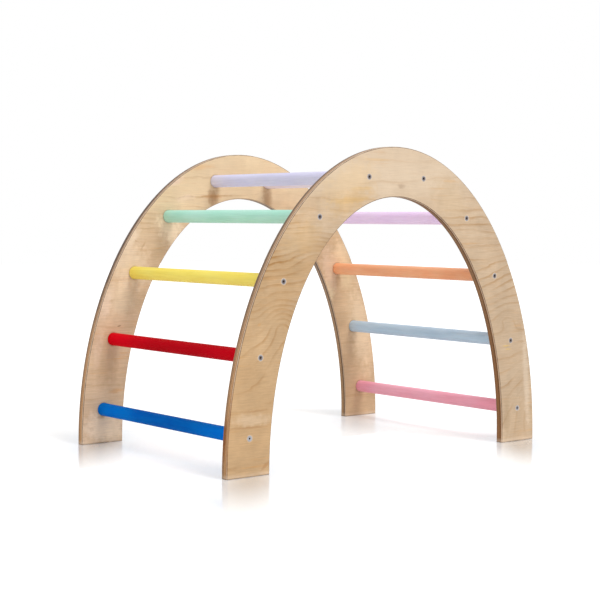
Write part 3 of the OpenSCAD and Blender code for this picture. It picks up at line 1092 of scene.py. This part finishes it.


# On both: a dark line in patches along the corners and stains on them, pale raw wood round the bolt heads and
# low on the feet, grime and painted shade close to the heads, painted shade round the rungs, grime under the
# feet
def wornAndShadedColour(tree, ply, colour, arch, groups):
    finish, marks, place, parts = birchFinish, wearAndShadeMarks, ply["place"], ply["parts"]
    beforeFace = ramp(tree, ply["flatness"], *marks["faceFrom"])
    corner = times(tree, ramp(tree, ply["flatness"], *marks["lineFrom"]), beforeFace)
    wear = ramp(tree, noise(tree, place, *marks["patches"]), *marks["patchy"])
    edgeLine = mixColours(tree, ply["inner"], finish["edgeLine"], arch["innerLine"])
    colour = mixColours(tree, times(tree, corner, wear), colour, edgeLine)
    nearCorner = times(tree, ramp(tree, ply["flatness"], *marks["cornerFrom"]), beforeFace)
    colour = withStainsAndPaintedLight(tree, groups, place, colour, arch["cornerStains"], nearCorner)

    away = useGroup(tree, groups["seats"], {"Vector": place})["Distance"]
    away = maths(tree, "MULTIPLY_ADD", sway(tree, place, *marks["ragged"]), marks["raggedReach"], away)
    fromHead = maths(tree, "SUBTRACT", away, boltShape["headRadius"])
    fromRung = maths(tree, "SUBTRACT", away, rungShape["radius"])
    halfWay, blur = archCentre(1) + marks["innerReach"], marks["innerBlur"]
    fromMiddle = maths(tree, "ABSOLUTE", parts["Y"])
    inward = ramp(tree, fromMiddle, halfWay - blur, halfWay + blur, 1.0, 0.0)
    raw = times(tree, ramp(tree, fromHead, *marks["rawRing"]), marks["rawStrength"])
    raw = times(tree, raw, ramp(tree, inward, *marks["outerOnly"]))
    colour = mixColours(tree, raw, colour, finish["sandedEdge"])
    scuffed = times(tree, ramp(tree, parts["Z"], *marks["scuffedFoot"]), wear)
    colour = mixColours(tree, scuffed, colour, finish["sandedEdge"])
    aroundHead = ramp(tree, fromHead, *marks["headGrimeAndShade"])
    aroundRung = ramp(tree, fromRung, *marks["rungShade"])
    underfoot = times(tree, ramp(tree, parts["Z"], *marks["footGrime"]), wear)
    # Painted shade round the heads and the rungs, grime under the feet
    grimeAndShade = maths(tree, "MAXIMUM", mixNumbers(tree, inward, aroundHead, aroundRung), underfoot)
    return mixColours(tree, grimeAndShade, colour, finish["dirtAndShade"])


# How the tone changes. Four values are a range of a noise, and the tones that it is carried into.
toneMarks = {
    "fibre": (0.91, 1.08),
    "shimmerNoise": ((46.0, 30.0, 26.0),),
    "shimmer": (0.3, 0.7, 0.975, 1.025),
    "blotchNoise": ((13.0, 20.0, 9.0), 2.5, 0.5),
    "blotchShift": (3.0, 7.0, 1.0),  # the second counts for each metre from the middle to the arch
    "blotch": (0.34, 0.66, 0.94, 1.06),
    "crownCalm": 0.45,
}


# Small changes of tone: fibres, a shimmer and slow blotches, calmer at the crown
def woodTone(tree, ply, centreY):
    marks, place = toneMarks, ply["place"]
    tone = ramp(tree, ply["wood"]["Fibre"], *birchFinish["fibreRange"], *marks["fibre"])
    shimmer = noise(tree, place, *marks["shimmerNoise"])
    tone = times(tree, tone, ramp(tree, shimmer, *marks["shimmer"]))
    shiftX, shiftY, shiftZ = marks["blotchShift"]
    blotch = noise(tree, place, *marks["blotchNoise"], (shiftX, shiftY * centreY, shiftZ))
    tone = times(tree, tone, ramp(tree, blotch, *marks["blotch"]))
    return mixNumbers(tree, times(tree, ply["high"], marks["crownCalm"]), tone, 1.0)


def birchPly(arch, groups):
    finish = birchFinish
    material, tree, shader = newMaterial(arch["name"] + "Birch")
    ply = readPly(tree, arch, groups)
    wood = ply["wood"]
    onFace = ramp(tree, ply["flatness"], *finish["faceFrom"])
    edge, face = edgeColour(tree, ply, arch, groups), faceColour(tree, ply, arch, groups)
    colour = wornAndShadedColour(tree, ply, mixColours(tree, onFace, edge, face), arch, groups)
    rough = ramp(tree, wood["Fibre"], *finish["fibreRange"], *finish["roughness"])
    relief = times(tree, wood["Pores"], finish["poreRelief"])
    relief = maths(tree, "MULTIPLY_ADD", wood["Fibre"], finish["fibreRelief"], relief)
    relief = maths(tree, "MULTIPLY_ADD", ply["stack"]["Glue"], finish["glueRelief"], relief)
    giveInputs(tree, shader, {
        "Base Color": shaded(tree, colour, woodTone(tree, ply, archCentre(arch["side"]))),
        "Roughness": maths(tree, "MULTIPLY_ADD", ply["endwise"], finish["endRougher"], rough),
        "Specular IOR Level": finish["shine"],
        "Coat Weight": finish["coat"],
        "Coat Roughness": finish["coatRoughness"],
        "Normal": bumpNormal(tree, relief, *finish["bump"]),
    })
    return material


# Each rung's paint: colour, shine, and its tone at the back end, in the middle and at the front end; these
# tones are partly painted shade and light as it fell along each rung
rungFinishes = {
    "blue": (paint(1, 123, 222), 0.01, (0.94, 0.72, 1.12)),
    "red": (paint(222, 2, 27), 0.015, (1.05, 0.72, 0.92)),
    "yellow": (paint(255, 236, 116), 0.1, (0.95, 1.02, 1.0)),
    "mint": (paint(192, 240, 222), 0.1, (0.97, 1.0, 0.99)),
    "periwinkle": (paint(229, 226, 250), 0.1, (1.0, 0.98, 1.0)),
    "blush": (paint(246, 232, 238), 0.1, (1.0, 1.0, 1.0)),
    "lilac": (paint(250, 224, 255), 0.2, (1.0, 1.0, 1.0)),
    "orange": (paint(255, 185, 136), 0.4, (1.0, 0.98, 0.86)),
    "sky": (paint(194, 216, 233), 0.2, (1.0, 0.98, 1.0)),
    "pink": (paint(255, 182, 200), 0.1, (0.95, 1.0, 1.0)),
}


# Four values are a range of a noise, and what it is carried into
paintLook = {
    "firstSeed": 3.0,
    "seedStep": 0.7,  # from one rung's wood to the next
    "patches": ((30.0, 11.0, 30.0), 3.0, 0.55),
    "thicker": (0.3, 0.72, 0.0, 0.3),
    "streaks": ((260.0, 10.0, 260.0), 3.0, 0.6),
    "streakTone": (0.3, 0.7, 0.95, 1.035),
    "backPart": (0.25, 0.06),  # along y, where the back end's tone gives way to the middle's
    "frontPart": (-0.06, -0.25),  # and the middle's to the front end's
    "fibreTone": (0.3, 0.7, 0.97, 1.02),
    "roughness": (0.3, 0.7, 0.5, 0.4),
    "streakRelief": 0.6,
    "bump": (0.25, 0.00012),  # strength and depth
}


# Thin paint on a sanded rod: streaks along the grain show through it, and it lies thicker in slow
# patches, where it multiplies itself
def rungPaint(colourName, number, groups):
    look = paintLook
    base, shine, (backTone, middleTone, frontTone) = rungFinishes[colourName]
    material, tree, shader = newMaterial(colourName + "Paint")
    place = objectPlace(tree)
    parts = apart(tree, place)
    alongRung = together(tree, parts["Y"], parts["X"], parts["Z"])
    seed = look["firstSeed"] + look["seedStep"] * number
    fibre = useGroup(tree, groups["veneer"], {"Vector": alongRung, "Seed": seed})["Fibre"]
    patches, streaks = noise(tree, place, *look["patches"]), noise(tree, place, *look["streaks"])
    deeper = mixColours(tree, 1.0, base, base, "MULTIPLY")
    colour = mixColours(tree, ramp(tree, patches, *look["thicker"]), base, deeper)
    # Tone along the rung, partly painted shade, darkest in the middle of the blue and red ones
    toneAndShadeAlong = ramp(tree, parts["Y"], *look["backPart"], backTone, middleTone)
    toneAndShadeAlong = mixNumbers(tree, ramp(tree, parts["Y"], *look["frontPart"]), toneAndShadeAlong, frontTone)
    tone = times(tree, ramp(tree, streaks, *look["streakTone"]), toneAndShadeAlong)
    tone = times(tree, tone, ramp(tree, fibre, *look["fibreTone"]))
    relief = maths(tree, "MULTIPLY_ADD", streaks, look["streakRelief"], fibre)
    giveInputs(tree, shader, {
        "Base Color": shaded(tree, colour, tone),
        "Roughness": ramp(tree, fibre, *look["roughness"]),
        "Specular IOR Level": shine,
        "Normal": bumpNormal(tree, relief, *look["bump"]),
    })
    return material


boltFinish = {
    "colours": (paint(206, 208, 214), paint(176, 178, 186)),  # clean and smeared
    "roughness": (0.28, 0.42),
    "darkReflection": paint(110, 94, 88),  # painted reflection: the darker middle of a head, inside its bright rim
    "darkReflectionRadius": (0.0054, 0.0044),  # where it starts and where it is full
    "darkReflectionStrength": 0.85,
    "lowHeights": (0.12, 0.2),  # under the first, only these shares of it are left, on the left and right
    "lowShares": (0.25, 0.7),
    "leftAndRight": (-0.1, 0.1),  # along x
    "hollowShade": paint(74, 64, 60),  # painted shade inside the socket and under the face
    "hollowShadeFrom": (0.0002, 0.0012),  # depths under the face where it starts and where it is full
}

insertFinish = {
    "colours": (paint(216, 200, 150), paint(186, 174, 140)),
    "roughness": (0.32, 0.5),
}


# Bare metal that is handled: a clean and a smeared colour, and a roughness for each
def smearedMetal(name, finish, groups):
    material, tree, shader = newMaterial(name)
    place = objectPlace(tree)
    smears = useGroup(tree, groups["smears"], {"Vector": place})["Amount"]
    colour = mixColours(tree, smears, *finish["colours"])
    rough = ramp(tree, smears, 0, 1, *finish["roughness"])
    giveInputs(tree, shader, {"Base Color": colour, "Metallic": 1.0, "Roughness": rough})
    return material, tree, shader, place, colour


def insertZinc(groups):
    return smearedMetal("insertZinc", insertFinish, groups)[0]


def boltSteel(groups):
    finish = boltFinish
    material, tree, shader, place, colour = smearedMetal("boltSteel", finish, groups)
    parts = apart(tree, place)
    away = useGroup(tree, groups["seats"], {"Vector": place})["Distance"]
    # Painted reflection: the middle of each head darker, less of it on the low heads, most on the left
    lowShare = ramp(tree, parts["X"], *finish["leftAndRight"], *finish["lowShares"])
    share = ramp(tree, parts["Z"], *finish["lowHeights"], lowShare, 1.0)
    darkReflection = times(tree, ramp(tree, away, *finish["darkReflectionRadius"], 0.0, finish["darkReflectionStrength"]), share)
    colour = mixColours(tree, darkReflection, colour, finish["darkReflection"])
    # Painted shade in the socket and under the face
    depth = maths(tree, "SUBTRACT", archShape["outerFace"], maths(tree, "ABSOLUTE", parts["Y"]))
    colour = mixColours(tree, ramp(tree, depth, *finish["hollowShadeFrom"]), colour, finish["hollowShade"])
    connect(tree, colour, shader.inputs["Base Color"])
    return material


def rungPlace(colour):
    low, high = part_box(colour + "_rung")
    return ((low.x + high.x) / 2, (low.z + high.z) / 2)


def settle(piece, node, material):
    piece.data.materials.clear()
    piece.data.materials.append(material)
    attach(piece, "root")
    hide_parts(node)


places = [rungPlace(colour) for colour in rungColours]
groups = {
    "veneer": makeVeneerGroup(makeGrowthGroup(birchFinish), birchFinish),
    "softSpot": makeSoftSpotGroup(),
    "seats": makeSeatGroup(places),
    "smears": makeSmearGroup(),
}
print("shared effects made:", ", ".join(groups))

for arch in (frontArch, backArch):
    settle(makeArch(arch["name"], arch["side"], places), arch["node"], birchPly(arch, groups))

steel, zinc = boltSteel(groups), insertZinc(groups)
goldenAngle = 2.39996  # radians, so that no two sockets stand alike
for number, (colour, place) in enumerate(zip(rungColours, places)):
    coat = rungPaint(colour, number, groups)
    settle(makeRung(colour + "Rung", place, number), colour + "_rung", coat)
    bolts = [boltSurface(place, side, goldenAngle * (2 * number + side)) for side in (-1, 1)]
    bolts = newPiece(colour + "RungBolts", bolts, boltShape["sharpAngle"])
    settle(bolts, colour + "_rung_bolts", steel)
    inserts = [insertSurface(place, side) for side in (-1, 1)]
    inserts = newPiece(colour + "RungInserts", inserts, insertShape["sharpAngle"])
    settle(inserts, colour + "_rung_inserts", zinc)
print("rungs, bolts and inserts made")


floorShape = {
    "size": 24.0,
    "colour": 0.84,
    "lift": 0.38,  # white added to the floor where the camera sees it
    "liftNear": 0.2,  # the same in the mirroring patch at each foot
    "mirror": 1.8,  # how strongly a patch mirrors
    "mostMirror": 0.85,
    "mirrorIndex": 1.5,  # of refraction, as glass has
    "farthestFrom": (0.13, 0.2),  # sum of x and y where the mirror gets weaker, toward the foot behind right
    "farthestShare": 0.55,  # of the mirror that is left there
    "patchReach": (0.34, 0.085),  # half sizes of a patch
    "patchTurn": 50.0,  # degrees from x to its longer side
    "mirrorRoughness": 0.12,
    "mirrorTint": (0.90, 0.94, 1.0),
}


# 1 at each foot, falling off as a bell over a long patch that starts there
def nearFeet(tree):
    parts = apart(tree, objectPlace(tree))
    distances = {"X": archShape["halfLength"] - archShape["bandWidth"] / 2, "Y": archShape["outerFace"]}
    fromFoot = {"Z": 0.0}
    for axis, distance in distances.items():
        fromFoot[axis] = maths(tree, "MULTIPLY_ADD", maths(tree, "SIGN", parts[axis]), -distance, parts[axis])
    patch = {
        "Vector": together(tree, fromFoot["X"], fromFoot["Y"], fromFoot["Z"]),
        "Rotation": (0, 0, np.radians(floorShape["patchTurn"])),
        "Scale": (*floorShape["patchReach"], 1),
    }
    away = addNode(tree, "ShaderNodeMapping", patch, vector_type="TEXTURE").outputs[0]
    return maths(tree, "EXPONENT", times(tree, vectorMaths(tree, "DOT_PRODUCT", away, away), -1.0))


# How much of the floor mirrors: more at a grazing look, only near the feet, and less at the farthest one
def mirrorShare(tree, near):
    grazing = addNode(tree, "ShaderNodeFresnel", {"IOR": floorShape["mirrorIndex"]}).outputs[0]
    share = maths(tree, "MINIMUM", times(tree, grazing, floorShape["mirror"]), floorShape["mostMirror"])
    parts = apart(tree, objectPlace(tree))
    behindRight = maths(tree, "ADD", parts["X"], parts["Y"])
    farthest = ramp(tree, behindRight, *floorShape["farthestFrom"], 1.0, floorShape["farthestShare"])
    return times(tree, share, near, farthest)


def paleFloor():
    material, tree, shader = newMaterial("paleFloor")
    level = floorShape["colour"]
    near = nearFeet(tree)
    seen = addNode(tree, "ShaderNodeLightPath").outputs["Is Camera Ray"]
    lift = mixNumbers(tree, near, floorShape["lift"], floorShape["liftNear"])
    giveInputs(tree, shader, {
        "Base Color": (level, level, level, 1.0),
        "Roughness": 1.0,
        "Specular IOR Level": 0.0,
        "Emission Color": (1.0, 1.0, 1.0, 1.0),
        "Emission Strength": times(tree, seen, lift),
    })
    look = {"Roughness": floorShape["mirrorRoughness"], "Color": (*floorShape["mirrorTint"], 1.0)}
    gloss = addNode(tree, "ShaderNodeBsdfAnisotropic", look).outputs[0]
    layers = {0: mirrorShare(tree, near), 1: shader.outputs[0], 2: gloss}
    both = addNode(tree, "ShaderNodeMixShader", layers).outputs[0]
    connect(tree, both, tree.nodes["Material Output"].inputs["Surface"])
    return material


def makeFloor():
    half = floorShape["size"] / 2
    corners = [(-half, -half, 0), (half, -half, 0), (half, half, 0), (-half, half, 0)]
    mesh = bpy.data.meshes.new("floor")
    mesh.from_pydata(corners, [], [(0, 1, 2, 3)])
    mesh.materials.append(paleFloor())
    floor = bpy.data.objects.new("floor", mesh)
    bpy.context.scene.collection.objects.link(floor)


studio = {
    "skyLight": 0.76,
    "keyToward": (0.15, -0.66, 0.74),  # from the object toward the light
    "keyWidth": 26.0,  # degrees across, which softens the shadows
    "keyPower": 1.35,
    "cameraPlace": (-2.1445, -2.5633, 0.5196),
    "heading": 0.6888,  # radians from +y toward +x
    "pitch": -0.0551,
    "roll": -0.0074,
    "lens": 85.14,
    "sensorWidth": 36.0,
    "farthest": 100.0,
}


# White where the camera or a mirror sees it, and a plain level of light otherwise
def makeSky():
    world = bpy.data.worlds.new("studio")
    bpy.context.scene.world = world
    world.use_nodes = True
    tree = world.node_tree
    background = tree.nodes["Background"]
    background.inputs["Color"].default_value = (1.0, 1.0, 1.0, 1.0)
    path = addNode(tree, "ShaderNodeLightPath").outputs
    seen = maths(tree, "MAXIMUM", path["Is Camera Ray"], path["Is Glossy Ray"])
    seen = maths(tree, "MAXIMUM", seen, path["Is Transmission Ray"])
    connect(tree, mixNumbers(tree, seen, studio["skyLight"], 1.0), background.inputs["Strength"])


# One wide soft light from above and in front, equally strong everywhere
def addKeyLight():
    lamp = bpy.data.lights.new("key", "SUN")
    lamp.energy = studio["keyPower"]
    lamp.angle = np.radians(studio["keyWidth"])
    holder = bpy.data.objects.new("key", lamp)
    holder.rotation_euler = Vector(studio["keyToward"]).to_track_quat("Z", "Y").to_euler()
    bpy.context.scene.collection.objects.link(holder)


# The camera looks along a heading and a pitch, turned a little about its own line of sight
def addCamera():
    heading, pitch, roll = studio["heading"], studio["pitch"], studio["roll"]
    ahead = Vector((np.sin(heading) * np.cos(pitch), np.cos(heading) * np.cos(pitch), np.sin(pitch)))
    right = Vector((np.cos(heading), -np.sin(heading), 0.0))
    down = ahead.cross(right)
    turnedRight = np.cos(roll) * right + np.sin(roll) * down
    turnedDown = np.cos(roll) * down - np.sin(roll) * right
    camera = bpy.data.cameras.new("camera")
    camera.sensor_width = studio["sensorWidth"]
    camera.lens = studio["lens"]
    camera.clip_end = studio["farthest"]
    holder = bpy.data.objects.new("camera", camera)
    axes = Matrix((turnedRight, -turnedDown, -ahead)).transposed().to_4x4()
    holder.matrix_world = Matrix.Translation(studio["cameraPlace"]) @ axes
    bpy.context.scene.collection.objects.link(holder)
    bpy.context.scene.camera = holder


makeFloor()
makeSky()
addKeyLight()
addCamera()
bpy.context.scene.view_settings.view_transform = "Standard"
print("floor, light and camera set")
